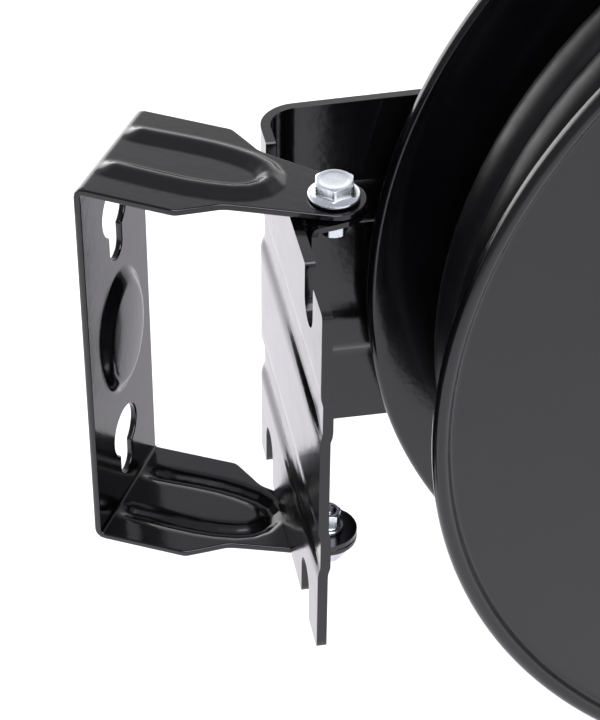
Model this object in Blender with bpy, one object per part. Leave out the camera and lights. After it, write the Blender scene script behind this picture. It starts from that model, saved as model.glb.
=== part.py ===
# Wall-hung, spring-return air hose reel: swivel bracket, one-armed frame,
# hose drum, ratchet, air swivel, hose guide and hose end.
# Run with: blender --background --python part.py
import bpy
import bmesh
import math
from mathutils import Matrix, Vector, geometry

for ob in list(bpy.data.objects):
    bpy.data.objects.remove(ob, do_unlink=True)

MM = 0.001

# ---- driving dimensions, millimetres -------------------------------------
MID_Z = -22.0          # height of the bracket's middle; the origin is the wall mount above it
GAP = 0.3              # air left between touching pieces

# wall bracket
WB_W = 43.1            # width
WB_H = 123.4           # outside height
WB_T = 2.0             # sheet
WB_R = 2.8             # outside bend radius
WB_PIVOT = 65.6        # wall to swivel axis
WB_TILT_UP = 1.40      # degrees each arm closes in
WB_TILT_LO = 1.56
KEY_R = 8.0
KEY_SLOT = 4.05
KEY_UP = (41.8, 29.55)     # big hole centre, slot end centre
KEY_LO = (-36.5, -48.1)

# swivelling frame, in its own axes: u outward, v to the arm side, z up
SWING = 29.71          # rest angle of the frame, degrees
PL_U0 = -12.24         # wall-side face of the plate
PL_T = 2.83
PL_V0 = -47.0
PL_V1 = 54.39          # outer face of the side arm
PL_R = 11.46           # outside bend radius
PL_Z = 56.6            # height of the top edge
PL_ZL = 57.9           # depth of the bottom edge
RIB_IN, RIB_OUT, RIB_D = 15.6, 30.9, 1.05
NOTCH_V, NOTCH_R, NOTCH_Z = 29.35, 5.55, 47.2

# pivot channel
CH_Z = 57.6
CH_T = 1.6

# drum, axis along v
DR_U = 182.8
HUB_R = 57.0
FF_V, FF_R = -25.8, 160.2      # front flange: hose-side face, rim radius
RF_V, RF_R = 38.7, 163.7
FL_T = 1.1
BEAD = 2.1
SH_R = 8.0

# hose
HOSE_R = 7.6
WIND_R = 142.0
PITCH_R = 15.4
PITCH_V = 15.45
TOP_V = (-17.9, -2.4, 13.05)
EXIT_A = math.radians(-13.8)
GUIDE_L = 147.9

SWING_R = math.radians(SWING)


# ---- materials -------------------------------------------------------------
def material(name, rgb, rough, metal, coat=0.0):
    m = bpy.data.materials.new(name)
    m.use_nodes = True
    b = m.node_tree.nodes["Principled BSDF"]
    b.inputs["Base Color"].default_value = (*rgb, 1.0)
    b.inputs["Roughness"].default_value = rough
    b.inputs["Metallic"].default_value = metal
    b.inputs["Coat Weight"].default_value = coat
    m.diffuse_color = (*rgb, 1.0)
    return m


BLACK = (0.012, 0.012, 0.013)
ZINC = (0.62, 0.64, 0.66)
STEEL = (0.42, 0.42, 0.43)
BRASS = (0.62, 0.44, 0.16)
RUBBER = (0.018, 0.018, 0.018)
NYLON = (0.70, 0.69, 0.64)


# ---- placing ---------------------------------------------------------------
def holder(name, loc, rot=None, parent=None):
    e = bpy.data.objects.new(name, None)
    e.empty_display_size = 0.02
    bpy.context.scene.collection.objects.link(e)
    e.location = Vector(loc) * MM
    if rot is not None:
        e.rotation_euler = rot
    if parent is not None:
        e.parent = parent
    return e


def add_mesh(name, bm, mat, parent=None, loc=(0, 0, 0), rot=None, smooth=35.0):
    bmesh.ops.remove_doubles(bm, verts=bm.verts, dist=1e-4)
    bmesh.ops.recalc_face_normals(bm, faces=bm.faces)
    bmesh.ops.scale(bm, vec=(MM, MM, MM), verts=bm.verts)
    me = bpy.data.meshes.new(name)
    bm.to_mesh(me)
    bm.free()
    ob = bpy.data.objects.new(name, me)
    bpy.context.scene.collection.objects.link(ob)
    ob.location = Vector(loc) * MM
    if rot is not None:
        ob.rotation_euler = rot
    if parent is not None:
        ob.parent = parent
    if mat is not None:
        me.materials.append(mat)
    for p in me.polygons:
        p.use_smooth = True
    me.set_sharp_from_angle(angle=math.radians(smooth))
    return ob


# ---- solids ----------------------------------------------------------------
AX = {
    "z": lambda a, b, c: Vector((a, b, c)),
    "y": lambda a, b, c: Vector((a, c, b)),
    "x": lambda a, b, c: Vector((c, a, b)),
}


def lathe(profile, seg=48, axis="y", a0=0.0, a1=360.0, ctr=(0, 0, 0)):
    """profile: closed loop of (r, h); turned about the axis."""
    bm = bmesh.new()
    full = abs(a1 - a0 - 360.0) < 1e-6
    n = seg if full else seg + 1
    rings = []
    for i in range(n):
        a = math.radians(a0 + (a1 - a0) * i / seg)
        ring = []
        for r, h in profile:
            p = AX[axis](r * math.cos(a), r * math.sin(a), h) + Vector(ctr)
            ring.append(bm.verts.new(p))
        rings.append(ring)
    k = len(profile)
    for i in range(seg):
        A = rings[i]
        B = rings[(i + 1) % n]
        for j in range(k):
            q = [A[j], A[(j + 1) % k], B[(j + 1) % k], B[j]]
            r0, r1 = profile[j][0], profile[(j + 1) % k][0]
            if r0 < 1e-6 and r1 < 1e-6:
                continue
            if r0 < 1e-6:
                q = [A[j], A[(j + 1) % k], B[(j + 1) % k]]
            elif r1 < 1e-6:
                q = [A[j], A[(j + 1) % k], B[j]]
            bm.faces.new(q)
    if not full:
        bm.faces.new(rings[0])
        bm.faces.new(list(reversed(rings[-1])))
    return bm


def rot_z(p, a):
    c, s = math.cos(a), math.sin(a)
    return (p[0] * c - p[1] * s, p[0] * s + p[1] * c)


def ring_pts(cx, cy, r, n, a0=0.0):
    return [(cx + r * math.cos(a0 + 2 * math.pi * i / n), cy + r * math.sin(a0 + 2 * math.pi * i / n)) for i in range(n)]


def plate(outline, holes, h0, h1, axis="z"):
    """flat piece: outline and holes in 2-D, extruded from h0 to h1."""
    bm = bmesh.new()
    loops = [outline] + list(holes)
    lo, hi = [], []
    for lp in loops:
        lo.append([bm.verts.new(AX[axis](x, y, h0)) for x, y in lp])
        hi.append([bm.verts.new(AX[axis](x, y, h1)) for x, y in lp])
    tris = geometry.tessellate_polygon([[Vector((x, y, 0)) for x, y in lp] for lp in loops])
    flat_lo = [v for lp in lo for v in lp]
    flat_hi = [v for lp in hi for v in lp]
    for t in tris:
        bm.faces.new([flat_lo[i] for i in t])
        bm.faces.new([flat_hi[i] for i in reversed(t)])
    for a, b in zip(lo, hi):
        n = len(a)
        for i in range(n):
            bm.faces.new([a[i], a[(i + 1) % n], b[(i + 1) % n], b[i]])
    return bm


def inside(p, poly):
    x, y = p
    c = False
    n = len(poly)
    for i in range(n):
        x0, y0 = poly[i]
        x1, y1 = poly[(i + 1) % n]
        if (y0 > y) != (y1 > y) and x < (x1 - x0) * (y - y0) / (y1 - y0) + x0:
            c = not c
    return c


def edge_gap(p, poly):
    best = 1e9
    n = len(poly)
    for i in range(n):
        ax, ay = poly[i]
        bx, by = poly[(i + 1) % n]
        dx, dy = bx - ax, by - ay
        l2 = dx * dx + dy * dy
        t = 0.0 if l2 < 1e-12 else max(0.0, min(1.0, ((p[0] - ax) * dx + (p[1] - ay) * dy) / l2))
        best = min(best, math.hypot(p[0] - ax - t * dx, p[1] - ay - t * dy))
    return best


def formed(outline, holes, inner, shape, t):
    """pressed sheet: flat pattern triangulated with inner points, then bent.
    shape(s, w) gives the middle surface point and its outward normal."""
    loops = [outline] + list(holes)
    verts, edges = [], []
    for lp in loops:
        k = len(verts)
        verts += [Vector(p) for p in lp]
        edges += [(k + i, k + (i + 1) % len(lp)) for i in range(len(lp))]
    used = []
    for p in inner:
        if not inside(p, outline) or any(inside(p, h) for h in holes):
            continue
        if min(edge_gap(p, lp) for lp in loops) < 0.7:
            continue
        if any((p[0] - q[0]) ** 2 + (p[1] - q[1]) ** 2 < 0.5 for q in used):
            continue
        used.append(p)
    verts += [Vector(p) for p in used]
    vo, eo, fo, _, _, _ = geometry.delaunay_2d_cdt(verts, edges, [], 0, 1e-5)
    keep = []
    for f in fo:
        c = (sum(vo[i].x for i in f) / len(f), sum(vo[i].y for i in f) / len(f))
        if inside(c, outline) and not any(inside(c, h) for h in holes):
            keep.append(list(f))
    bm = bmesh.new()
    top, bot = {}, {}
    for f in keep:
        for i in f:
            if i not in top:
                P, N = shape(vo[i].x, vo[i].y)
                top[i] = bm.verts.new(P + N * t / 2)
                bot[i] = bm.verts.new(P - N * t / 2)
    count = {}
    for f in keep:
        n = len(f)
        bm.faces.new([top[i] for i in f])
        bm.faces.new([bot[i] for i in reversed(f)])
        for i in range(n):
            e = (f[i], f[(i + 1) % n])
            key = (min(e), max(e))
            count[key] = None if key in count else e
    for e in count.values():
        if e is not None:
            a, b = e
            bm.faces.new([top[b], top[a], bot[a], bot[b]])
    return bm


def dense(lp, step):
    out = []
    n = len(lp)
    for i in range(n):
        ax, ay = lp[i]
        bx, by = lp[(i + 1) % n]
        k = max(1, int(math.ceil(math.hypot(bx - ax, by - ay) / step)))
        out += [(ax + (bx - ax) * j / k, ay + (by - ay) * j / k) for j in range(k)]
    return out


def hexagon(af, a0=0.0):
    r = af / math.sqrt(3.0)
    return ring_pts(0, 0, r, 6, a0)


def hex_lathe(af, h0, h1, bore, axis="z", a0=0.0, ctr=(0, 0, 0), cham=0.8, lim=0.96):
    """hexagonal ring with turned chamfers on both ends."""
    rc = af / math.sqrt(3.0)
    bm = bmesh.new()
    n = 12

    def rad(a):
        k = (a - a0) % (math.pi / 3) - math.pi / 6
        return (af / 2) / math.cos(k)

    rows = []
    for h, top in ((h0, af / 2 * lim), (h0 + cham, rc), (h1 - cham, rc), (h1, af / 2 * lim)):
        rows.append([])
        for i in range(n):
            a = a0 + 2 * math.pi * i / n
            r = min(rad(a), top)
            rows[-1].append(bm.verts.new(AX[axis](r * math.cos(a), r * math.sin(a), h) + Vector(ctr)))
    inn = []
    if bore > 0:
        for h in (h0, h1):
            inn.append([bm.verts.new(AX[axis](bore * math.cos(a0 + 2 * math.pi * i / n), bore * math.sin(a0 + 2 * math.pi * i / n), h) + Vector(ctr)) for i in range(n)])
    for a, b in zip(rows[:-1], rows[1:]):
        for i in range(n):
            bm.faces.new([a[i], a[(i + 1) % n], b[(i + 1) % n], b[i]])
    if bore > 0:
        for i in range(n):
            j = (i + 1) % n
            bm.faces.new([rows[0][i], inn[0][i], inn[0][j], rows[0][j]])
            bm.faces.new([rows[-1][i], rows[-1][j], inn[1][j], inn[1][i]])
            bm.faces.new([inn[0][i], inn[1][i], inn[1][j], inn[0][j]])
    else:
        bm.faces.new(list(reversed(rows[0])))
        bm.faces.new(rows[-1])
    return bm


def cutter(name, bm, parent=None, loc=(0, 0, 0), rot=None):
    ob = add_mesh(name, bm, None, parent, loc, rot)
    ob.hide_render = True
    ob.display_type = 'WIRE'
    return ob


def cut(ob, tool, op='DIFFERENCE'):
    m = ob.modifiers.new(tool.name, 'BOOLEAN')
    m.operation = op
    m.object = tool
    m.solver = 'EXACT'


def rod(r, h0, h1, seg=24, axis="y", ctr=(0, 0, 0)):
    return lathe([(0, h0), (r, h0), (r, h1), (0, h1)], seg, axis, ctr=ctr)


# ---- wall bracket -----------------------------------------------------------
half = WB_H / 2 - WB_R
rc_w = WB_R - WB_T / 2
PHI_UP = math.radians(90 + WB_TILT_UP)
PHI_LO = math.radians(90 + WB_TILT_LO)

BEAD_LINE = [(-3.0, 9.2), (4.0, 9.3), (10.0, 9.4), (20.0, 9.8), (28.0, 9.8), (34.0, 9.2), (40.0, 8.0), (44.0, 6.2), (46.7, 3.4), (47.8, 0.0)]
BEAD_W = 4.3
BEAD_H = 2.1
ARM_X0 = WB_R


def arm_s(x, phi):
    x_end = WB_R - rc_w * math.cos(phi)
    return half + rc_w * phi + (x - x_end) / math.sin(phi)


def bead_dist(s_x, w):
    best = 1e9
    w = abs(w)
    for (ax, ay), (bx, by) in zip(BEAD_LINE[:-1], BEAD_LINE[1:]):
        dx, dy = bx - ax, by - ay
        t = max(0.0, min(1.0, ((s_x - ax) * dx + (w - ay) * dy) / (dx * dx + dy * dy)))
        best = min(best, math.hypot(s_x - ax - t * dx, w - ay - t * dy))
    return best


def ramp(x):
    x = max(0.0, min(1.0, x))
    return x * x * (3 - 2 * x)


def bracket_h(s, w):
    phi = PHI_UP if s > 0 else PHI_LO
    a = abs(s)
    h = 0.0
    sx = a - arm_s(0.0, phi)
    d = bead_dist(sx, w)
    if d < BEAD_W:
        h += BEAD_H * (0.5 + 0.5 * math.cos(math.pi * d / BEAD_W)) * ramp((a - (half + 1.6)) / 6.0)
    rho = math.hypot((w - 0.7) / 14.9, s / 21.0)
    if rho < 1.0:
        h -= 2.2 * ramp((1.0 - rho) / 0.28)
        if rho < 0.75:
            h -= 0.5 * (1.0 - (rho / 0.75) ** 2)
    return h


def bracket_shape(s, w):
    sg = 1.0 if s >= 0 else -1.0
    phi = PHI_UP if s > 0 else PHI_LO
    a = abs(s)
    if a <= half:
        P, N = (WB_T / 2, a), (-1.0, 0.0)
    elif a <= half + rc_w * phi:
        q = (a - half) / rc_w
        P, N = (WB_R - rc_w * math.cos(q), half + rc_w * math.sin(q)), (-math.cos(q), math.sin(q))
    else:
        q = a - half - rc_w * phi
        N = (-math.cos(phi), math.sin(phi))
        P = (WB_R - rc_w * math.cos(phi) + q * math.sin(phi), half + rc_w * math.sin(phi) + q * math.cos(phi))
    h = bracket_h(s, w)
    e = 0.05
    return (Vector((P[0] + N[0] * h, w, sg * (P[1] + N[1] * h))), Vector((N[0], 0.0, sg * N[1])))


def arm_half(x):
    if x <= 29.1:
        return WB_W / 2
    if x <= 39.6:
        return WB_W / 2 + (13.92 - WB_W / 2) * (x - 29.1) / 10.5
    return 13.92 - 0.1915 * (x - 39.6)


TIP_R = 8.78
slope = math.atan(0.1915)
tipx = WB_PIVOT + TIP_R * math.sin(slope)
edge_up = []
for x in (10.0, 20.0, 27.6):
    edge_up.append((x, WB_W / 2))
edge_up += [(28.9, WB_W / 2 - 0.15), (30.2, WB_W / 2 - 0.95), (34.5, arm_half(34.5)), (38.6, arm_half(38.6) + 0.05), (40.6, arm_half(40.6) + 0.1), (46.0, arm_half(46.0)), (54.0, arm_half(54.0)), (tipx, TIP_R * math.cos(slope))]
for i in range(1, 12):
    a = math.pi / 2 - slope - (math.pi - 2 * slope) * i / 12
    edge_up.append((WB_PIVOT + TIP_R * math.cos(a), TIP_R * math.sin(a)))
right = edge_up[:11]
tip = edge_up[11:]
arm_pts = right + tip + [(x, -w) for x, w in reversed(right)]

out_up = [(arm_s(x, PHI_UP), w) for x, w in arm_pts]
out_lo = [(-arm_s(x, PHI_LO), w) for x, w in reversed(arm_pts)]
bend_rows = [half - 6.0, half] + [half + rc_w * PHI_UP * k / 5 for k in range(1, 6)]
side_a = [(s, WB_W / 2) for s in bend_rows]
outline = []
outline += [(-s, WB_W / 2) for s in reversed(bend_rows)] + [(-half / 2, WB_W / 2), (0, WB_W / 2), (half / 2, WB_W / 2)] + side_a
outline += out_up
outline += [(s, -WB_W / 2) for s in reversed(bend_rows)] + [(half / 2, -WB_W / 2), (0, -WB_W / 2), (-half / 2, -WB_W / 2)] + [(-s, -WB_W / 2) for s in bend_rows]
outline += [(s, w) for s, w in out_lo]


def keyhole(zc, zs):
    pts = []
    ang = math.asin(KEY_SLOT / KEY_R)
    a0, a1 = -math.pi / 2 + ang, 3 * math.pi / 2 - ang
    n = 20
    for i in range(n + 1):
        a = a0 + (a1 - a0) * i / n
        pts.append((zc + KEY_R * math.sin(a), KEY_R * math.cos(a)))
    for i in range(9):
        a = math.pi + math.pi * i / 8
        pts.append((zs + KEY_SLOT * math.sin(a), KEY_SLOT * math.cos(a)))
    return pts


holes = [keyhole(*KEY_UP), keyhole(*KEY_LO),
         [(arm_s(WB_PIVOT, PHI_UP) + x, y) for x, y in ring_pts(0, 0, 3.4, 20)],
         [(-arm_s(WB_PIVOT, PHI_LO) + x, y) for x, y in ring_pts(0, 0, 3.4, 20)]]
inner = []
for sg, phi in ((1, PHI_UP), (-1, PHI_LO)):
    rows = [half] + [half + rc_w * phi * k / 5 for k in range(1, 6)] + [half + rc_w * phi + 2.3, half + rc_w * phi + 4.6]
    for s in rows:
        for w in (-17.5, -9.3 - 4.3, -9.3 - 2.15, -9.3, -9.3 + 2.15, -9.3 + 4.3, 0, 9.3 - 4.3, 9.3 - 2.15, 9.3, 9.3 + 2.15, 9.3 + 4.3, 17.5):
            inner.append((sg * s, w))
    s0 = arm_s(0.0, phi)
    # lines along the hairpin bead
    fine = []
    for (ax, ay), (bx, by) in zip(BEAD_LINE[2:-1], BEAD_LINE[3:]):
        k = max(1, int(round(math.hypot(bx - ax, by - ay) / 3.3)))
        fine += [(ax + (bx - ax) * j / k, ay + (by - ay) * j / k) for j in range(k)]
    fine.append(BEAD_LINE[-1])
    for i, (x, y) in enumerate(fine):
        if i + 1 < len(fine):
            tx, ty = fine[i + 1][0] - x, fine[i + 1][1] - y
        else:
            tx, ty = 0.0, -1.0
        l = math.hypot(tx, ty)
        nx, ny = -ty / l, tx / l
        for o in (-4.3, -2.9, -1.45, 0, 1.45, 2.9, 4.3):
            px, py = x + nx * o, y + ny * o
            for m in (1, -1):
                if py > 0.3 or (abs(py) <= 0.3 and m == 1):
                    inner.append((sg * (s0 + px), m * max(py, 0.0)))
for rho, n in ((1.0, 28), (0.91, 28), (0.81, 28), (0.72, 24), (0.5, 16), (0.25, 8), (0.0, 1)):
    for i in range(n):
        a = 2 * math.pi * (i + 0.5 * (rho == 0.5)) / n
        inner.append((21.0 * rho * math.sin(a), 0.7 + 14.9 * rho * math.cos(a)))

wall_bm = formed(dense(outline, 9.0), holes, inner, bracket_shape, WB_T)
add_mesh("wall_bracket", wall_bm, material("paint_bracket", BLACK, 0.22, 0.0, 0.5), loc=(0, 0, MID_Z), smooth=28)

# ---- frame that swings in the bracket ----------------------------------------
pivot = holder("swivel_axis", (WB_PIVOT, 0, MID_Z), (0, 0, SWING_R))

rc_f = PL_R - PL_T / 2
L1 = PL_V1 - PL_R - PL_V0
L2 = L1 + rc_f * math.pi / 2
ARM_U = PL_U0 + PL_R      # u where the side arm starts


def arm_top(u):
    return PL_Z + 0.3 + 0.0243 * (u - ARM_U)


def rib_depth(s, z):
    d = abs(z)
    mid, hw = (RIB_IN + RIB_OUT) / 2, (RIB_OUT - RIB_IN) / 2
    q = hw - abs(d - mid)
    return RIB_D * ramp(q / 2.7) * (1.0 - ramp((s - (L2 + 66.0)) / 10.0)) * (0.35 + 0.65 * ramp(s / 14.0))


def frame_shape(s, w):
    if s <= L1:
        P, N = (PL_U0 + PL_T / 2, PL_V0 + s), (-1.0, 0.0)
    elif s <= L2:
        q = (s - L1) / rc_f
        P, N = (PL_U0 + PL_R - rc_f * math.cos(q), PL_V1 - PL_R + rc_f * math.sin(q)), (-math.cos(q), math.sin(q))
    else:
        P, N = (ARM_U + s - L2, PL_V1 - PL_T / 2), (0.0, 1.0)
    h = -rib_depth(s, w)
    return Vector((P[0] + N[0] * h, P[1] + N[1] * h, w)), Vector((N[0], N[1], 0.0))


def su(u):
    return L2 + u - ARM_U


def notch(sc, sg):
    n = 10
    ez = PL_Z if sg > 0 else PL_ZL
    pts = [(sc - NOTCH_R, ez)]
    for i in range(n + 1):
        a = math.pi + math.pi * i / n
        pts.append((sc + NOTCH_R * math.cos(a), NOTCH_Z + NOTCH_R * math.sin(a)))
    pts.append((sc + NOTCH_R, ez))
    return [(s, sg * z) for s, z in pts]


END_R = 40.0
top_edge = [(0.0, PL_Z)] + notch(-NOTCH_V - PL_V0, 1) + notch(NOTCH_V - PL_V0, 1) + [(L1, PL_Z + 0.1)] + [(L1 + (L2 - L1) * k / 5, PL_Z + 0.1 + 0.2 * k / 5) for k in range(1, 6)]
top_edge += [(su(30), arm_top(30)), (su(72), arm_top(72)), (su(86), arm_top(86) - 3.0)]
a_t = math.radians(64)
top_edge += [(su(DR_U - 38), END_R * 0.93 + 8.0)]
n = 20
for i in range(n + 1):
    a = math.radians(112) - math.radians(224) * i / n
    top_edge.append((su(DR_U + END_R * math.cos(a)), END_R * math.sin(a)))
bot_edge = [(0.0, -PL_ZL)] + notch(-NOTCH_V - PL_V0, -1) + notch(NOTCH_V - PL_V0, -1) + [(L1, -PL_ZL)] + [(L1 + (L2 - L1) * k / 5, -PL_ZL) for k in range(1, 6)]
bot_edge += [(su(30), -57.9), (su(72), -58.4), (su(86), -55.4), (su(DR_U - 38), -END_R * 0.93 - 8.0)]
f_out = top_edge + list(reversed(bot_edge))
PAWL_U, PAWL_Z = DR_U - 62 * math.cos(math.radians(30)), 62 * math.sin(math.radians(30))
SCR_U, SCR_Z = DR_U + 27.0, -14.0
f_holes = [[(su(DR_U) + x, y) for x, y in ring_pts(0, 0, SH_R + GAP, 32)],
           [(su(PAWL_U) + x, PAWL_Z + y) for x, y in ring_pts(0, 0, 3.3, 16)],
           [(su(SCR_U) + x, SCR_Z + y) for x, y in ring_pts(0, 0, 2.8, 16)]]
f_in = []
rib_z = (RIB_IN, RIB_IN + 1.35, RIB_IN + 2.7, RIB_OUT - 2.7, RIB_OUT - 1.35, RIB_OUT)
f_s = [0.9, 7, 14, 29, 44, 58, 72, L1 - 8, L1] + [L1 + (L2 - L1) * k / 5 for k in range(1, 6)] + [L2 + 14, L2 + 32, L2 + 50, L2 + 66, L2 + 69, L2 + 73, L2 + 76]
for s in f_s:
    for z in rib_z:
        f_in += [(s, z), (s, -z)]
for s in [L1] + [L1 + (L2 - L1) * k / 5 for k in range(1, 6)]:
    for z in (0, 7.5, -7.5, 38, -38, 47, -47):
        f_in.append((s, z))
near_edge = [(0.0, z) for z in sorted([sg * z for z in rib_z for sg in (1, -1)] + [0.0, -44.0, 44.0])]
f_out = top_edge + list(reversed(bot_edge))
f_out += near_edge
frame_bm = formed(f_out, f_holes, f_in, frame_shape, PL_T)
add_mesh("reel_frame", frame_bm, material("paint_frame", BLACK, 0.24, 0.0, 0.5), pivot, smooth=28)

# pivot channel: web on the plate, two ears to the swivel bolts
ch_face = PL_U0 + PL_T + RIB_D + GAP
ch_r = 2.0
rc_c = ch_r - CH_T / 2
ch_half = CH_Z - ch_r


def channel_shape(s, w):
    sg = 1.0 if s >= 0 else -1.0
    a = abs(s)
    if a <= ch_half:
        P, N = (ch_face + CH_T / 2, a), (-1.0, 0.0)
    elif a <= ch_half + rc_c * math.pi / 2:
        q = (a - ch_half) / rc_c
        P, N = (ch_face + ch_r - rc_c * math.cos(q), ch_half + rc_c * math.sin(q)), (-math.cos(q), math.sin(q))
    else:
        P, N = (ch_face + ch_r + a - ch_half - rc_c * math.pi / 2, CH_Z - CH_T / 2), (0.0, 1.0)
    return Vector((P[0], w, sg * P[1])), Vector((N[0], 0.0, sg * N[1]))


def ear_s(u):
    return ch_half + rc_c * math.pi / 2 + u - ch_face - ch_r


ear = [(ch_face + ch_r, 10.3), (-1.0, 9.36)]
EAR_R = 8.75
for i in range(0, 13):
    a = math.radians(74.4) - math.radians(148.8) * i / 12
    ear.append((EAR_R * math.cos(a), EAR_R * math.sin(a)))
ear += [(-1.0, -9.36), (ch_face + ch_r, -10.3)]
CW = 11.1
c_rows = [ch_half + rc_c * math.pi / 2 * k / 4 for k in range(0, 4)]
c_wide = [(s, CW - 0.2 * k) for k, s in enumerate(c_rows)]
c_out = [(-s, w) for s, w in reversed(c_wide)] + [(0, CW)] + c_wide
c_out += [(ear_s(u), w) for u, w in ear]
c_out += [(s, -w) for s, w in reversed(c_wide)] + [(0, -CW)] + [(-s, -w) for s, w in c_wide]
c_out += [(-ear_s(u), w) for u, w in reversed(ear)]
c_holes = [[(sg * ear_s(0) + x, y) for x, y in ring_pts(0, 0, 3.4, 20)] for sg in (1, -1)]
c_in = [(sg * s, w) for s in c_rows + [ear_s(ch_face + ch_r)] for sg in (1, -1) for w in (-8.0, -4.0, 0.0, 4.0, 8.0)]
ch_bm = formed(c_out, c_holes, c_in, channel_shape, CH_T)
add_mesh("pivot_channel", ch_bm, material("paint_channel", BLACK, 0.24, 0.0, 0.5), pivot, smooth=28)

# swivel bolts: flanged hexagon head outside the arm, nut inside the ear
z_up = WB_H / 2 - WB_PIVOT * math.tan(math.radians(WB_TILT_UP))
z_lo = WB_H / 2 - WB_PIVOT * math.tan(math.radians(WB_TILT_LO))


def flange_bolt(z_arm):
    bm = lathe([(0, CH_Z - CH_T - 7.2), (2.0, CH_Z - CH_T - 7.2), (2.0, CH_Z - CH_T - 0.4), (3.0, CH_Z - CH_T + 0.2),
                (3.0, z_arm + 0.55), (6.9, z_arm + 0.55), (7.1, z_arm + 0.8), (7.1, z_arm + 1.35), (6.8, z_arm + 1.6),
                (5.3, z_arm + 2.1), (5.2, z_arm + 2.2), (0, z_arm + 2.2)], 28, "z")
    head = hex_lathe(10.0, z_arm + 1.5, z_arm + 5.65, 0.0, "z", math.radians(19), cham=0.5)
    return bm, head


def two_part(name, bm, bm2, mat, rot=None):
    ob = add_mesh(name, bm, mat, pivot, rot=rot)
    tool = cutter(name + "_add", bm2, pivot, rot=rot)
    cut(ob, tool, 'UNION')
    return ob


HEX_TURN = math.radians(-62)
flip = (math.pi, 0, 0)
for nm, za, rot in (("top", z_up, None), ("bottom", z_lo, flip)):
    b1, b2 = flange_bolt(za)
    two_part("pivot_bolt_" + nm, b1, b2, material("zinc_bolt_" + nm, ZINC, 0.25, 1.0), rot)
    zt = CH_Z - CH_T - GAP
    add_mesh("pivot_washer_" + nm, lathe([(2.3, zt), (4.6, zt), (4.6, zt - 0.8), (2.3, zt - 0.8)], 20, "z"), material("zinc_washer_" + nm, ZINC, 0.28, 1.0), pivot, rot=rot)
    add_mesh("pivot_nut_" + nm, hex_lathe(7.0, zt - 6.3, zt - 1.0, 2.3, "z", math.radians(-2), cham=0.4), material("zinc_nut_" + nm, ZINC, 0.28, 1.0), pivot, rot=rot)

# ---- drum ------------------------------------------------------------------
axle = holder("drum_axis", (DR_U, 0, 0), None, pivot)


def arc(cr, ch, r, a0, a1, n):
    return [(cr + r * math.cos(math.radians(a0 + (a1 - a0) * i / n)), ch + r * math.sin(math.radians(a0 + (a1 - a0) * i / n))) for i in range(n + 1)]


# each flange: flat sheet with its rim rolled away from the hose
bc = FF_R - BEAD
front = [(48.0, FF_V - FL_T), (48.0, FF_V), (bc, FF_V)] + arc(bc, FF_V - BEAD, BEAD, 60, -180, 6) + [(bc - BEAD - 0.5, FF_V - FL_T - 0.25), (bc - BEAD - 1.5, FF_V - FL_T)]
add_mesh("front_flange", lathe(front, 80), material("paint_front_flange", (0.03, 0.03, 0.031), 0.42, 0.0), axle)
bc = RF_R - BEAD
rear = [(20.0, RF_V), (20.0, RF_V + FL_T), (bc - BEAD - 1.5, RF_V + FL_T), (bc - BEAD - 0.5, RF_V + FL_T + 0.25)] + arc(bc, RF_V + BEAD, BEAD, 180, -60, 6) + [(bc, RF_V)]
add_mesh("rear_flange", lathe(rear, 80), material("paint_rear_flange", (0.03, 0.03, 0.031), 0.38, 0.0), axle)

core = [(HUB_R - 1.2, FF_V + GAP), (HUB_R, FF_V + GAP), (HUB_R, RF_V - GAP), (14.0, RF_V - GAP), (14.0, RF_V - GAP - 2.0), (HUB_R - 1.2, RF_V - GAP - 2.0)]
core_ob = add_mesh("drum_core", lathe(core, 44), material("paint_core", BLACK, 0.4, 0.0), axle)
PORT_V = 28.0
cut(core_ob, cutter("core_port", rod(8.2, 40, 70, 20, "x", (0, PORT_V, 0)), axle))

add_mesh("rear_bush", lathe([(8.3, 35.6), (13.7, 35.6), (13.7, 44.0), (17.0, 44.0), (17.0, 46.7), (8.3, 46.7)], 24), material("nylon_rear_bush", NYLON, 0.45, 0.0), axle)
add_mesh("front_bush", lathe([(8.3, -36.0), (13.4, -36.0), (13.4, -42.8), (16.5, -42.8), (16.5, -45.4), (8.3, -45.4)], 24), material("nylon_front_bush", NYLON, 0.45, 0.0), axle)

cover = [(13.7, -42.5), (39.0, -42.5), (43.0, -41.2), (46.2, -37.0), (48.0, -30.2), (49.5, -28.7), (56.0, -28.7), (56.0, -27.2), (47.8, -27.2), (46.6, -29.6), (44.8, -36.4), (42.2, -40.0), (38.6, -41.0), (13.7, -41.0)]
cover_ob = add_mesh("spring_cover", lathe(cover, 40), material("paint_cover", (0.03, 0.03, 0.031), 0.4, 0.0), axle)
flange_ob = bpy.data.objects["front_flange"]
# the flange reaches in under the cover's rim and takes its screws
for k in range(4):
    a = math.radians(45 + 90 * k)
    cx, cz = 52.4 * math.cos(a), 52.4 * math.sin(a)
    add_mesh("cover_screw_%d" % (k + 1), lathe([(0, -18.0), (1.4, -18.6), (1.7, -19.2), (1.7, -29.0), (3.4, -29.0), (3.4, -30.0), (2.4, -31.2), (0, -31.6)], 16, ctr=(cx, 0, cz)), material("zinc_cover_screw_%d" % (k + 1), ZINC, 0.3, 1.0), axle)
    cut(flange_ob, cutter("flange_hole_%d" % (k + 1), rod(2.0, -35, -20, 14, ctr=(cx, 0, cz)), axle))
    cut(cover_ob, cutter("cover_hole_%d" % (k + 1), rod(2.0, -35, -20, 14, ctr=(cx, 0, cz)), axle))

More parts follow.
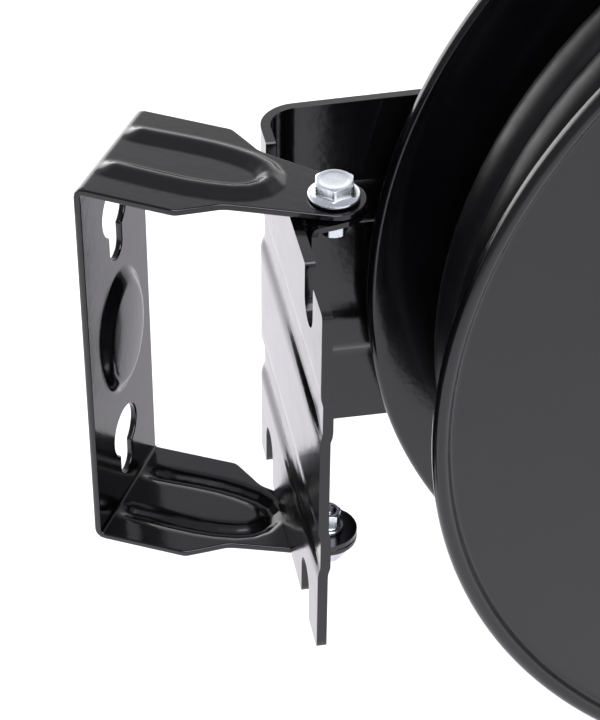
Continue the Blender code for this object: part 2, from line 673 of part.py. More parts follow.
# air swivel that turns with the drum round the fixed hollow shaft
hous = [(8.3, 21.0), (15.0, 21.0), (16.0, 22.0), (16.0, 34.6), (15.0, 35.2), (8.3, 35.2), (8.3, 32.9), (10.6, 32.9), (10.6, 30.3), (8.3, 30.3), (8.3, 25.7), (10.6, 25.7), (10.6, 23.1), (8.3, 23.1)]
hous_ob = add_mesh("swivel_housing", lathe(hous, 22), material("brass_housing", BRASS, 0.3, 1.0), axle)
cut(hous_ob, cutter("housing_port", rod(1.8, 5, 20, 16, "x", (0, PORT_V, 0)), axle))
for nm, v in (("rear", 31.6), ("front", 24.4)):
    add_mesh("swivel_seal_" + nm, lathe(arc(9.45, v, 0.95, 0, 300, 5), 20), material("rubber_seal_" + nm, RUBBER, 0.6, 0.0), axle)
tail = lathe([(1.8, 16.3), (5.5, 16.3), (5.5, 26.0), (4.3, 27.0), (4.3, 34.0), (4.9, 36.0), (4.1, 38.0), (4.9, 41.0), (4.1, 43.0), (4.9, 46.0), (4.1, 48.0), (4.4, 54.0), (1.8, 54.0)], 14, "x", ctr=(0, PORT_V, 0))
add_mesh("outlet_tail", tail, material("brass_tail", BRASS, 0.3, 1.0), axle)

# power spring on its arbor
add_mesh("spring_arbor", lathe([(8.3, -19.0), (12.4, -19.0), (12.4, 17.0), (8.3, 17.0)], 32), material("steel_arbor", STEEL, 0.35, 1.0), axle)
bm = bmesh.new()
turns, seg = 8.25, 15
N = int(turns * seg)
r_in, r_out, th_s = 13.4, 44.5, 0.8
rows = []
for i in range(N + 1):
    a = 2 * math.pi * i / seg
    r = r_in + (r_out - r_in) * i / N
    row = []
    for rr in (r, r + th_s):
        for v in (-17.0, 15.0):
            row.append(bm.verts.new((rr * math.cos(a), v, rr * math.sin(a))))
    rows.append(row)
for A, B in zip(rows[:-1], rows[1:]):
    bm.faces.new([A[0], A[1], B[1], B[0]])
    bm.faces.new([A[3], A[2], B[2], B[3]])
    bm.faces.new([A[1], A[3], B[3], B[1]])
    bm.faces.new([A[2], A[0], B[0], B[2]])
bm.faces.new([rows[0][0], rows[0][2], rows[0][3], rows[0][1]])
bm.faces.new([rows[-1][1], rows[-1][3], rows[-1][2], rows[-1][0]])
add_mesh("power_spring", bm, material("spring_steel", (0.2, 0.21, 0.24), 0.3, 1.0), axle)
add_mesh("spring_anchor", rod(2.6, -17.5, RF_V - GAP - 2.0 - GAP, 20, ctr=(0, 0, 49.0)), material("steel_anchor", STEEL, 0.35, 1.0), axle)

# ratchet wheel on the rear flange
teeth = 16
rt = []
for k in range(teeth):
    a = math.pi + 2 * math.pi * (k - 0.42) / teeth
    d = 2 * math.pi / teeth
    rt += [(39.0 * math.cos(a), 39.0 * math.sin(a)), (39.6 * math.cos(a + 0.42 * d), 39.6 * math.sin(a + 0.42 * d)), (44.6 * math.cos(a + 0.8 * d), 44.6 * math.sin(a + 0.8 * d)), (44.8 * math.cos(a + 0.97 * d), 44.8 * math.sin(a + 0.97 * d))]
add_mesh("ratchet_wheel", plate(rt, [ring_pts(0, 0, 26.0, 40)], RF_V + FL_T + GAP, RF_V + FL_T + GAP + 3.0, "y"), material("zinc_ratchet", ZINC, 0.32, 1.0), axle)

# pawl on a pin in the side arm
pawl_at = holder("pawl_axis", (PAWL_U, 0, PAWL_Z), None, pivot)
tip = (DR_U - 45.4 - PAWL_U, -PAWL_Z)
pl = math.hypot(*tip)
ux, uz = tip[0] / pl, tip[1] / pl
nx, nz = -uz, ux
pw = []
for i in range(13):
    a = math.atan2(nz, nx) + math.pi * i / 12
    pw.append((7.0 * math.cos(a), 7.0 * math.sin(a)))
pw += [(-nx * 4.6 + ux * 18, -nz * 4.6 + uz * 18), (-nx * 3.6 + ux * (pl - 1.0), -nz * 3.6 + uz * (pl - 1.0)), (tip[0] + nx * -2.8, tip[1] + nz * -2.8), tip, (nx * 0.4 + ux * (pl - 3.5), nz * 0.4 + uz * (pl - 3.5)), (nx * 4.6 + ux * 14, nz * 4.6 + uz * 14)]
area = sum(pw[i][0] * pw[(i + 1) % len(pw)][1] - pw[(i + 1) % len(pw)][0] * pw[i][1] for i in range(len(pw)))
add_mesh("pawl", plate(pw, [ring_pts(0, 0, 3.3, 16)], 41.0, 43.4, "y"), material("zinc_pawl", ZINC, 0.3, 1.0), pawl_at)
add_mesh("pawl_pin", lathe([(0, 40.1), (4.6, 40.1), (4.6, 40.7), (3.0, 40.7), (3.0, 54.7), (5.2, 54.7), (5.2, 55.6), (4.2, 56.6), (0, 56.8)], 20), material("zinc_pin", ZINC, 0.3, 1.0), pawl_at)
bm = bmesh.new()
turns, seg, sides = 4.5, 11, 5
rings = []
for i in range(int(turns * seg) + 1):
    a = 2 * math.pi * i / seg
    c = Vector((4.7 * math.cos(a), 44.4 + 6.2 * i / (turns * seg), 4.7 * math.sin(a)))
    er = Vector((math.cos(a), 0, math.sin(a)))
    rings.append([bm.verts.new(c + er * 0.55 * math.cos(2 * math.pi * j / sides) + Vector((0, 1, 0)) * 0.55 * math.sin(2 * math.pi * j / sides)) for j in range(sides)])
for A, B in zip(rings[:-1], rings[1:]):
    for j in range(sides):
        bm.faces.new([A[j], A[(j + 1) % sides], B[(j + 1) % sides], B[j]])
bm.faces.new(list(reversed(rings[0])))
bm.faces.new(rings[-1])
add_mesh("pawl_spring", bm, material("pawl_spring_steel", STEEL, 0.3, 1.0), pawl_at)

# fixed hollow shaft, its nut, washer and the air inlet
sh = [(0, -49.5), (7.2, -49.5), (8.0, -48.7), (8.0, -47.5), (7.0, -47.5), (7.0, -46.0), (8.0, -46.0), (8.0, 47.0), (12.0, 47.0), (12.0, PL_V1 - PL_T - GAP), (8.0, PL_V1 - PL_T - GAP), (8.0, 67.4), (7.4, 68.0), (3.6, 68.0), (3.6, 25.0), (0, 25.0)]
shaft_ob = add_mesh("main_shaft", lathe(sh, 24), material("steel_shaft", STEEL, 0.3, 1.0), axle)
cut(shaft_ob, cutter("shaft_port", rod(1.8, 0.5, 12, 16, "x", (0, PORT_V, 0)), axle))
add_mesh("retaining_ring", lathe([(7.3, -47.3), (11.2, -47.3), (11.2, -46.2), (7.3, -46.2)], 20, a0=20, a1=340), material("steel_ring", STEEL, 0.3, 1.0), axle)
add_mesh("shaft_washer", lathe([(8.3, 58.0), (14.5, 58.0), (14.5, 59.8), (8.3, 59.8)], 24), material("zinc_shaft_washer", ZINC, 0.3, 1.0), axle)
add_mesh("shaft_nut", hex_lathe(24.0, 60.1, 66.6, 8.3, "y", cham=0.9), material("zinc_shaft_nut", ZINC, 0.3, 1.0), axle)
elbow = add_mesh("inlet_elbow", lathe([(0, 62.0), (3.3, 62.0), (3.3, 68.3), (7.6, 68.3), (8.0, 69.0), (8.0, 81.0), (7.0, 82.0), (0, 82.0)], 20), material("brass_inlet", BRASS, 0.3, 1.0), axle)
cut(elbow, cutter("elbow_leg", lathe([(0, 2.0), (6.4, 2.0), (6.4, -12.0), (9.0, -12.0), (9.0, -18.0), (6.6, -18.0), (6.4, -29.0), (5.8, -30.0), (0, -30.0)], 18, "z", ctr=(0, 75.2, 0)), axle), 'UNION')
cut(elbow, cutter("elbow_bore", rod(3.9, -31.0, -10.0, 14, "z", (0, 75.2, 0)), axle))

# ---- hose guide -------------------------------------------------------------
ea = (math.sin(EXIT_A), -math.cos(EXIT_A))            # the way the hose runs, in u and z
tan_pt = (WIND_R * math.cos(EXIT_A), WIND_R * math.sin(EXIT_A))
G = (tan_pt[0] + ea[0] * GUIDE_L, tan_pt[1] + ea[1] * GUIDE_L)
eb = (-ea[1], ea[0])                                  # across the hose, outward


def gp(a, b):
    return (G[0] + ea[0] * a + eb[0] * b, G[1] + ea[1] * a + eb[1] * b)


def capsule(cx, cy, r, n, a0, a1):
    return [(cx + r * math.cos(a0 + (a1 - a0) * i / n), cy + r * math.sin(a0 + (a1 - a0) * i / n)) for i in range(n + 1)]


ga = []
ga += capsule(0, 0, 24.0, 12, math.radians(62), math.radians(242))
ga += [gp(-92, -17.5), gp(-84, -17.0), gp(12, -17.0), gp(16, -13.0), gp(16, 13.0), gp(12, 17.0)]
ga += [gp(-112, 17.0), gp(-124, 11.0)]
GA0, GA1 = PL_V1 + GAP, PL_V1 + GAP + 3.0
scr = (SCR_U - DR_U, SCR_Z)
cage_v0, cage_v1 = -34.0, PL_V1 - 0.0
gscr = [gp(-11.5, -7.5), gp(-11.5, 7.5)]
ga_holes = [ring_pts(0, 0, SH_R + GAP, 28), ring_pts(scr[0], scr[1], 2.8, 14)] + [ring_pts(x, z, 2.3, 12) for x, z in gscr]
add_mesh("guide_arm", plate(ga, ga_holes, GA0, GA1, "y"), material("paint_guide_arm", BLACK, 0.26, 0.0, 0.4), axle)
add_mesh("arm_screw", lathe([(0, 45.8), (2.2, 45.8), (2.5, 46.1), (2.5, GA1 + GAP), (4.9, GA1 + GAP), (4.9, GA1 + 2.2), (3.6, GA1 + 3.4), (0, GA1 + 3.8)], 20, ctr=(scr[0], 0, scr[1])), material("zinc_arm_screw", ZINC, 0.3, 1.0), axle)
add_mesh("arm_nut", hex_lathe(8.0, PL_V1 - PL_T - GAP - 4.0, PL_V1 - PL_T - GAP, 2.8, "y", ctr=(scr[0], 0, scr[1]), cham=0.4), material("zinc_arm_nut", ZINC, 0.3, 1.0), axle)

gang = math.atan2(ea[0], -ea[1])
guide = holder("guide_axis", (G[0], 0, G[1]), (0, -gang, 0), axle)
# in the guide's own axes the hose runs down -z, x points outward
CG_H, CG_X, CG_T = 17.0, 21.0, 2.4


def box_ring(x0, x1, y0, y1, t, z0, z1):
    return plate([(x0, y0), (x1, y0), (x1, y1), (x0, y1)], [[(x0 + t, y0 + t), (x1 - t, y0 + t), (x1 - t, y1 - t), (x0 + t, y1 - t)]], z0, z1, "z")


cage = add_mesh("guide_cage", box_ring(-CG_X, CG_X, cage_v0, cage_v1, CG_T, -CG_H, CG_H), material("paint_cage", BLACK, 0.26, 0.0, 0.4), guide)
RX, RV0, RV1 = 13.2, -25.0, 38.6
rollers = [("guide_roller_inner", "y", (-RX, 0, -4.5), cage_v0 + CG_T + 0.6, cage_v1 - CG_T - 0.6, cage_v0 - 1.6, cage_v1 - 0.4),
           ("guide_roller_outer", "y", (RX, 0, -4.5), cage_v0 + CG_T + 0.6, cage_v1 - CG_T - 0.6, cage_v0 - 1.6, cage_v1 - 0.4),
           ("guide_roller_front", "x", (0, RV0, 8.5), -CG_X + CG_T + 0.6, CG_X - CG_T - 0.6, -CG_X - 1.6, CG_X + 1.6),
           ("guide_roller_rear", "x", (0, RV1, 8.5), -CG_X + CG_T + 0.6, CG_X - CG_T - 0.6, -CG_X - 1.6, CG_X + 1.6)]
for nm, ax, c, a, b, pa, pb in rollers:
    at = holder(nm + "_axis", c, None, guide)
    add_mesh(nm, lathe([(1.9, a), (4.6, a), (5.2, a + 0.6), (5.2, b - 0.6), (4.6, b), (1.9, b)], 14, ax), material("nylon_" + nm, (0.04, 0.04, 0.042), 0.45, 0.0), at)
    add_mesh(nm.replace("roller", "pin"), rod(1.55, pa, pb, 14, ax), material("steel_" + nm, STEEL, 0.3, 1.0), at)
    if ax == "y":
        cut(cage, cutter(nm + "_bore", rod(1.85, pa - 3, pb + 3, 14, ax), at))
    else:
        cut(cage, cutter(nm + "_bore", rod(1.85, pa - 3, pb + 3, 14, ax), at))
for k, (x, z) in enumerate(gscr):
    xx = -7.5 if k == 0 else 7.5
    cut(cage, cutter("cage_hole_%d" % (k + 1), rod(2.3, 45, 60, 12, ctr=(xx, 0, 11.5)), guide))
    add_mesh("guide_screw_%d" % (k + 1), lathe([(0, 46.4), (2.0, 46.4), (2.0, GA1 + GAP), (3.9, GA1 + GAP), (3.9, GA1 + 1.8), (2.9, GA1 + 2.8), (0, GA1 + 3.0)], 16, ctr=(xx, 0, 11.5)), material("zinc_guide_screw_%d" % (k + 1), ZINC, 0.3, 1.0), guide)
    add_mesh("guide_nut_%d" % (k + 1), hex_lathe(7.0, cage_v1 - CG_T - GAP - 3.2, cage_v1 - CG_T - GAP, 2.3, "y", ctr=(xx, 0, 11.5), cham=0.4), material("zinc_guide_nut_%d" % (k + 1), ZINC, 0.3, 1.0), guide)

# ---- hose -------------------------------------------------------------------
w_in, w_top, w_mid = HUB_R + GAP, WIND_R + HOSE_R + 0.1, WIND_R - PITCH_R + HOSE_R + 0.1
wound = [(w_in, FF_V + GAP), (w_top, FF_V + GAP), (w_top, TOP_V[2] + HOSE_R + 0.3), (w_mid, TOP_V[2] + HOSE_R + 0.3), (w_mid, RF_V - GAP), (w_in, RF_V - GAP)]
add_mesh("hose_wound", lathe(wound, 64), material("hose_rubber_wound", RUBBER, 0.5, 0.0), axle)

# free end, straight from the drum through the guide to its stop and fitting
HOSE_V = 13.05
FREE_A, FREE_B = -GUIDE_L + 70.0, 70.0
cu = bpy.data.curves.new("hose_end", 'CURVE')
cu.dimensions = '3D'
sp = cu.splines.new('POLY')
npt = 8
sp.points.add(npt - 1)
for i in range(npt):
    z = -(FREE_A + (FREE_B - FREE_A) * i / (npt - 1))
    sp.points[i].co = (0, HOSE_V * MM, z * MM, 1)
cu.bevel_depth = HOSE_R * MM
cu.bevel_resolution = 3
cu.use_fill_caps = True
ho = bpy.data.objects.new("hose_end", cu)
bpy.context.scene.collection.objects.link(ho)
ho.parent = guide
cu.materials.append(material("hose_rubber_end", RUBBER, 0.5, 0.0))

c = (0, HOSE_V, 0)
bumper = [(7.9, -18.0), (11.0, -18.0)] + [(19.0 * math.cos(math.radians(t)), -36.5 + 18.0 * math.sin(math.radians(t))) for t in (48, 30, 12, -12, -30, -48)] + [(11.0, -54.6), (7.9, -54.6)]
add_mesh("hose_stop", lathe(bumper, 26, "z", ctr=c), material("rubber_stop", (0.02, 0.02, 0.02), 0.55, 0.0), guide)
add_mesh("stop_clamp", lathe([(7.9, -55.0), (9.6, -55.0), (10.0, -55.6), (10.0, -61.0), (9.6, -61.6), (7.9, -61.6)], 22, "z", ctr=c), material("zinc_clamp", ZINC, 0.3, 1.0), guide)
add_mesh("hose_ferrule", lathe([(7.9, -62.4), (9.2, -62.4), (9.6, -63.0), (9.6, -65.0), (9.1, -66.0), (9.6, -67.0), (9.6, -70.0), (9.1, -71.0), (9.6, -72.0), (9.6, -76.0), (4.9, -77.0), (4.9, -75.6), (7.9, -75.0)], 22, "z", ctr=c), material("brass_ferrule", BRASS, 0.3, 1.0), guide)
nip = lathe([(2.6, -71.0), (4.5, -71.0), (4.5, -77.6), (6.2, -77.9), (6.2, -86.0), (6.6, -87.0), (6.2, -98.0), (5.6, -99.0), (2.6, -99.0)], 20, "z", ctr=c)
nip_ob = add_mesh("hose_nipple", nip, material("brass_nipple", BRASS, 0.3, 1.0), guide)
cut(nip_ob, cutter("nipple_hex", hex_lathe(16.0, -85.4, -78.4, 5.0, "z", ctr=c, cham=0.8), guide), 'UNION')

bpy.context.view_layer.update()
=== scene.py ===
# Looks of the wall-hung air hose reel: finishes, fine sheet metal, wound hose.
import bpy
import bmesh
import math
import numpy as np
from mathutils import Matrix, Vector, geometry


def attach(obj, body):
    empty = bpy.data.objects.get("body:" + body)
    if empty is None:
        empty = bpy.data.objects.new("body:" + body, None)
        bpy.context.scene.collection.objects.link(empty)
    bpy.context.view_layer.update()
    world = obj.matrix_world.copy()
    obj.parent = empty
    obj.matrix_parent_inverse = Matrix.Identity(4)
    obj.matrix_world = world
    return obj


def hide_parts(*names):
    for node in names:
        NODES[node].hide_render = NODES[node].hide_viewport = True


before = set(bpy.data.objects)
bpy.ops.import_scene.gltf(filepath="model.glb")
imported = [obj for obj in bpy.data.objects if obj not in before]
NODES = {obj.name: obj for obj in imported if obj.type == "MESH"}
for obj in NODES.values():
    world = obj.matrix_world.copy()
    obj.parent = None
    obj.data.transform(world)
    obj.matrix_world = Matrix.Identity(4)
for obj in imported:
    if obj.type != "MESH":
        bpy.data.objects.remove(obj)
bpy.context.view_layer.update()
MM = 0.001

# ---- camera: solved from the photograph's edges ---------------------------
cam_data = bpy.data.cameras.new("photo_camera")
cam_data.lens = 110.22
cam_data.sensor_width = 36.0
cam_data.shift_x = 0.02702
cam_data.shift_y = 0.01098
cam_data.clip_start = 0.01
cam_data.clip_end = 50.0
camera = bpy.data.objects.new("photo_camera", cam_data)
bpy.context.scene.collection.objects.link(camera)
RT = Vector((0.94198725, 0.33564159, 0.00217888))
UP = Vector((-0.20693168, 0.57562382, 0.79109829))
BK = Vector((0.26427127, -0.74565538, 0.61168517))
M = Matrix((RT, UP, BK)).transposed().to_4x4()
M.translation = Vector((0.21502, -0.46343, 0.35756))
camera.matrix_world = M
bpy.context.scene.camera = camera

# ---- shared dimensions (millimetres, as the CAD has them) ------------------
MID_Z = -22.0
SWING = math.radians(29.71)
PIVOT = 65.6
DR_U = 182.8
CS, SN = math.cos(SWING), math.sin(SWING)


def swing_matrix():
    return Matrix.Translation(Vector((PIVOT, 0, MID_Z)) * MM) @ Matrix.Rotation(SWING, 4, 'Z')


def drum_matrix():
    return swing_matrix() @ Matrix.Translation(Vector((DR_U, 0, 0)) * MM)


HOSE_R, WIND_R, PITCH_R = 7.6, 142.0, 15.4
LANES = (-17.9, -2.4, 13.05, 28.5)
EXIT_A = math.radians(-13.8)
GUIDE_L = 147.9


# ---- materials --------------------------------------------------------------
def new_mat(name, rgb, rough, metal=0.0):
    m = bpy.data.materials.new(name)
    m.use_nodes = True
    nt = m.node_tree
    b = nt.nodes["Principled BSDF"]
    b.inputs["Base Color"].default_value = (*rgb, 1.0)
    b.inputs["Roughness"].default_value = rough
    b.inputs["Metallic"].default_value = metal
    m.diffuse_color = (*rgb, 1.0)
    return m, nt, b


def coords(nt):
    n = nt.nodes.new("ShaderNodeTexCoord")
    return n.outputs["Object"]


def noise(nt, scale, detail=3.0, rough=0.5, vec=None):
    n = nt.nodes.new("ShaderNodeTexNoise")
    n.inputs["Scale"].default_value = scale
    n.inputs["Detail"].default_value = detail
    n.inputs["Roughness"].default_value = rough
    nt.links.new(vec if vec is not None else coords(nt), n.inputs["Vector"])
    return n.outputs["Fac"]


def remap(nt, src, lo, hi, a=0.3, b=0.7):
    n = nt.nodes.new("ShaderNodeMapRange")
    n.inputs["From Min"].default_value = a
    n.inputs["From Max"].default_value = b
    n.inputs["To Min"].default_value = lo
    n.inputs["To Max"].default_value = hi
    nt.links.new(src, n.inputs["Value"])
    return n.outputs["Result"]


def tint(nt, src, c0, c1, a=0.3, b=0.7):
    n = nt.nodes.new("ShaderNodeValToRGB")
    n.color_ramp.elements[0].position = a
    n.color_ramp.elements[0].color = (*c0, 1.0)
    n.color_ramp.elements[1].position = b
    n.color_ramp.elements[1].color = (*c1, 1.0)
    nt.links.new(src, n.inputs["Fac"])
    return n.outputs["Color"]


def bump(nt, b, src, strength, dist, prev=None):
    n = nt.nodes.new("ShaderNodeBump")
    n.inputs["Strength"].default_value = strength
    n.inputs["Distance"].default_value = dist
    nt.links.new(src, n.inputs["Height"])
    if prev is not None:
        nt.links.new(prev, n.inputs["Normal"])
    nt.links.new(n.outputs["Normal"], b.inputs["Normal"])
    return n.outputs["Normal"]


def paint(name, c0, c1, r0, r1, peel=0.10, peel_scale=420.0, dust=0.0):
    """baked enamel: slight colour drift, cloudy gloss and orange peel."""
    m, nt, b = new_mat(name, c0, (r0 + r1) / 2)
    nt.links.new(tint(nt, noise(nt, 38.0, 4.0, 0.6), c0, c1), b.inputs["Base Color"])
    nt.links.new(remap(nt, noise(nt, 90.0, 5.0, 0.65), r0, r1), b.inputs["Roughness"])
    b.inputs["IOR"].default_value = 1.5
    n1 = bump(nt, b, noise(nt, peel_scale, 2.0, 0.5), peel, 0.0004)
    bump(nt, b, noise(nt, 2600.0, 2.0, 0.5), peel * 0.35, 0.0001, n1)
    return m


def paint_edge_highlight(m, rgb, lo, hi):
    """paints a paler colour on sharp edges (by Pointiness): a painted highlight where the rounded edges would catch
    light.
    """
    nt = m.node_tree
    b = nt.nodes["Principled BSDF"]
    geo = nt.nodes.new("ShaderNodeNewGeometry")
    mix = nt.nodes.new("ShaderNodeMix")
    mix.data_type = 'RGBA'
    nt.links.new(remap(nt, geo.outputs["Pointiness"], 0.0, 1.0, lo, hi), mix.inputs[0])
    nt.links.new(b.inputs["Base Color"].links[0].from_socket, mix.inputs[6])
    mix.inputs[7].default_value = (*rgb, 1.0)
    nt.links.new(mix.outputs[2], b.inputs["Base Color"])


def metal(name, c0, c1, r0, r1, scale=160.0, grain=0.08):
    m, nt, b = new_mat(name, c0, (r0 + r1) / 2, 1.0)
    nt.links.new(tint(nt, noise(nt, scale, 4.0, 0.6), c0, c1), b.inputs["Base Color"])
    nt.links.new(remap(nt, noise(nt, scale * 3.1, 4.0, 0.6), r0, r1), b.inputs["Roughness"])
    bump(nt, b, noise(nt, scale * 9.0, 3.0, 0.6), grain, 0.00015)
    return m


def rubber(name, c0, c1, r0, r1, grain=0.2, scale=900.0):
    m, nt, b = new_mat(name, c0, (r0 + r1) / 2)
    nt.links.new(tint(nt, noise(nt, 60.0, 4.0, 0.6), c0, c1), b.inputs["Base Color"])
    nt.links.new(remap(nt, noise(nt, 140.0, 4.0, 0.6), r0, r1), b.inputs["Roughness"])
    bump(nt, b, noise(nt, scale, 3.0, 0.6), grain, 0.0002)
    return m


GLOSS = paint("gloss_black_enamel", (0.0012, 0.0012, 0.0014), (0.0022, 0.0021, 0.0024), 0.11, 0.17, 0.06)
FRAME_P = paint("frame_black_enamel", (0.0012, 0.0012, 0.0014), (0.0022, 0.0021, 0.0024), 0.11, 0.17, 0.07)
GLOSS_E = paint("gloss_black_enamel_painted_edge_highlight", (0.0012, 0.0012, 0.0014), (0.0022, 0.0021, 0.0024), 0.11, 0.17, 0.06)
# paler sharp edges on the bracket sheet: a painted edge highlight
paint_edge_highlight(GLOSS_E, (0.050, 0.048, 0.048), 0.56, 0.66)
SATIN = paint("satin_black_enamel", (0.0020, 0.0019, 0.0023), (0.0032, 0.0031, 0.0036), 0.18, 0.24, 0.06, 700.0)
SATIN_R = paint("satin_black_enamel_rear", (0.0012, 0.0012, 0.0016), (0.0022, 0.0022, 0.0027), 0.11, 0.16, 0.05, 700.0)
ZINC = metal("bright_zinc_plate", (0.50, 0.53, 0.56), (0.62, 0.65, 0.68), 0.20, 0.36)
# lighter copy of the same zinc: painted light for the top bolt and the nuts, which face the light; the bottom bolt
# keeps the darker copy
ZINC_LIT = metal("bright_zinc_plate_painted_lit", (0.60, 0.655, 0.68), (0.74, 0.80, 0.83), 0.18, 0.32)
STEEL = metal("turned_steel", (0.45, 0.45, 0.46), (0.58, 0.58, 0.58), 0.24, 0.36)
SPRING = metal("spring_steel_blued", (0.17, 0.18, 0.22), (0.24, 0.25, 0.28), 0.26, 0.38)
BRASS = metal("machined_brass", (0.42, 0.30, 0.12), (0.50, 0.37, 0.17), 0.26, 0.40)
NYLON = rubber("natural_nylon", (0.66, 0.65, 0.60), (0.74, 0.73, 0.68), 0.38, 0.5, 0.1)
ROLLER = rubber("black_acetal", (0.030, 0.030, 0.032), (0.042, 0.042, 0.044), 0.34, 0.46, 0.1)
HOSE = rubber("hose_rubber", (0.0035, 0.0035, 0.0040), (0.0065, 0.0065, 0.0070), 0.34, 0.46, 0.16)
HOSE.node_tree.nodes["Principled BSDF"].inputs["Specular IOR Level"].default_value = 0.20
STOP = rubber("bumper_rubber", (0.016, 0.016, 0.016), (0.024, 0.024, 0.024), 0.5, 0.62, 0.3)

for n, ob in NODES.items():
    if n in ("wall_bracket",):
        m = GLOSS
    elif n in ("reel_frame", "pivot_channel", "guide_arm", "guide_cage"):
        m = FRAME_P
    elif n in ("front_flange", "spring_cover"):
        m = SATIN
    elif n in ("rear_flange", "drum_core"):
        m = SATIN_R
    elif n in ("swivel_housing", "outlet_tail", "inlet_elbow", "hose_ferrule", "hose_nipple"):
        m = BRASS
    elif n in ("rear_bush", "front_bush"):
        m = NYLON
    elif n.startswith("guide_roller"):
        m = ROLLER
    elif n in ("hose_wound", "hose_end"):
        m = HOSE
    elif n in ("hose_stop", "swivel_seal_rear", "swivel_seal_front"):
        m = STOP
    elif n == "power_spring":
        m = SPRING
    elif n in ("main_shaft", "retaining_ring", "spring_arbor", "spring_anchor", "pawl_spring") or n.startswith("guide_pin"):
        m = STEEL
    else:
        m = ZINC
    ob.data.materials.clear()
    ob.data.materials.append(m)


# ---- mesh helpers ------------------------------------------------------------
def make(name, verts, faces, mat, body, mw=None, smooth=35.0):
    me = bpy.data.meshes.new(name)
    me.from_pydata([tuple(v) for v in verts], [], faces)
    me.update()
    bm = bmesh.new()
    bm.from_mesh(me)
    bmesh.ops.remove_doubles(bm, verts=bm.verts, dist=1e-7)
    bmesh.ops.recalc_face_normals(bm, faces=bm.faces)
    bm.to_mesh(me)
    bm.free()
    if mw is not None:
        me.transform(mw)
    me.materials.append(mat)
    for p in me.polygons:
        p.use_smooth = True
    me.set_sharp_from_angle(angle=math.radians(smooth))
    ob = bpy.data.objects.new(name, me)
    bpy.context.scene.collection.objects.link(ob)
    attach(ob, body)
    return ob


def edge_round(ob, width, segs=2, angle=50.0):
    m = ob.modifiers.new("edge_round", 'BEVEL')
    m.width = width
    m.segments = segs
    m.limit_method = 'ANGLE'
    m.angle_limit = math.radians(angle)
    m.harden_normals = False
    return m


def lathe(profile, seg, h0=None):
    """closed loop of (r, v) in mm turned about the drum axis; returns metres."""
    vs, fs = [], []
    k = len(profile)
    for i in range(seg):
        a = 2 * math.pi * i / seg
        for r, v in profile:
            vs.append((r * math.cos(a) * MM, v * MM, r * math.sin(a) * MM))
    for i in range(seg):
        for j in range(k):
            fs.append((i * k + j, i * k + (j + 1) % k, ((i + 1) % seg) * k + (j + 1) % k, ((i + 1) % seg) * k + j))
    return vs, fs


def arc(cr, ch, r, a0, a1, n):
    return [(cr + r * math.cos(math.radians(a0 + (a1 - a0) * i / n)), ch + r * math.sin(math.radians(a0 + (a1 - a0) * i / n))) for i in range(n + 1)]


# ---- cords first: the wound hose and its free end ------------------------------
def wound_path():
    """points from the outer end inward, in drum axes, millimetres."""
    turns = []
    for layer in range(6):
        r = WIND_R - PITCH_R * layer
        if layer == 0:
            lanes = [2, 1, 0]
        elif layer % 2 == 1:
            lanes = [0, 1, 2, 3]
        else:
            lanes = [3, 2, 1, 0]
        turns += [(r, LANES[k]) for k in lanes]
    pts = []
    move = math.radians(80)
    for t, (r, v) in enumerate(turns):
        last = t == len(turns) - 1
        nr, nv = (r, v) if last else turns[t + 1]
        n = 96 if t < 4 else 30
        n_go = n if not last else int(n * 0.94)
        for i in range(n_go):
            ph = 2 * math.pi * i / n
            q = max(0.0, (ph - (2 * math.pi - move)) / move)
            q = q * q * (3 - 2 * q)
            a = EXIT_A + ph
            rr = r + (nr - r) * q
            vv = v + (nv - v) * q
            pts.append((rr * math.cos(a), vv, rr * math.sin(a)))
    return pts


def tube(path, r, sides):
    P = np.array(path, float)
    T = np.gradient(P, axis=0)
    T /= np.linalg.norm(T, axis=1)[:, None]
    vs, fs = [], []
    ref = np.array((0.0, 1.0, 0.0))
    for p, t in zip(P, T):
        e1 = ref - t * (ref @ t)
        e1 /= np.linalg.norm(e1)
        e2 = np.cross(t, e1)
        for j in range(sides):
            a = 2 * math.pi * j / sides
            q = p + r * (math.cos(a) * e1 + math.sin(a) * e2)
            vs.append(tuple(q * MM))
    n = len(P)
    for i in range(n - 1):
        for j in range(sides):
            k = (j + 1) % sides
            fs.append((i * sides + j, i * sides + k, (i + 1) * sides + k, (i + 1) * sides + j))
    fs.append(tuple(range(sides)))
    fs.append(tuple(reversed(range((n - 1) * sides, n * sides))))
    return vs, fs


DM = drum_matrix()
wp = wound_path()
vs, fs = tube(wp, HOSE_R, 20)
wound = make("hose_turns", vs, fs, HOSE, "drum", DM, 60.0)
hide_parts("hose_wound")

ea = (math.sin(EXIT_A), -math.cos(EXIT_A))
tan_pt = (WIND_R * math.cos(EXIT_A), WIND_R * math.sin(EXIT_A))
FREE = GUIDE_L + 70.0
fp = []
for i in range(40):
    d = 0.3 + (FREE - 0.3) * i / 39
    fp.append((tan_pt[0] + ea[0] * d, LANES[2], tan_pt[1] + ea[1] * d))
vs, fs = tube(fp, HOSE_R, 28)
free = make("hose_free_end", vs, fs, HOSE, "frame", DM, 60.0)
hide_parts("hose_end")

# ---- flanges -------------------------------------------------------------------
FF_V, FF_R, RF_V, RF_R, FL_T, BEAD = -25.8, 160.2, 38.7, 163.7, 1.1, 2.1


def soft_profile(p):
    return p


